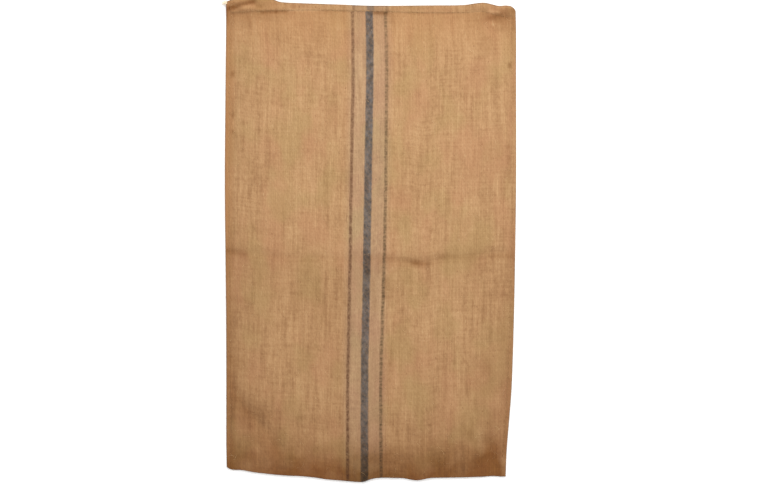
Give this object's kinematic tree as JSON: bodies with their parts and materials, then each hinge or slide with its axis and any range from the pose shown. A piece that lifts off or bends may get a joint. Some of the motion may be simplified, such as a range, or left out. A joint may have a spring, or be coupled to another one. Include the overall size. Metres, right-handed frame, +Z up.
{
  "type": "jute sack",
  "caption": "Empty jute sack lying flat on its back: folded across at the bottom, closed along both sides, open at its hemmed mouth, woven stripes down the middle.",
  "frame": {"origin": "middle of the sack's underside, on the surface that it lies on", "axes": "+Y along the sack towards its mouth, +Z up out of the front, +X to the right as the front is seen with the mouth at the top"},
  "size_m": [0.6792, 1.1255, 0.0193],
  "materials": {
    "jute_twill": "coarse undyed jute twill, dull, with a slate grey stripe and two thin ones woven in along its length"
  },
  "bodies": {
    "root": {"sack_body": "jute_twill"}
  },
  "joints": []
}
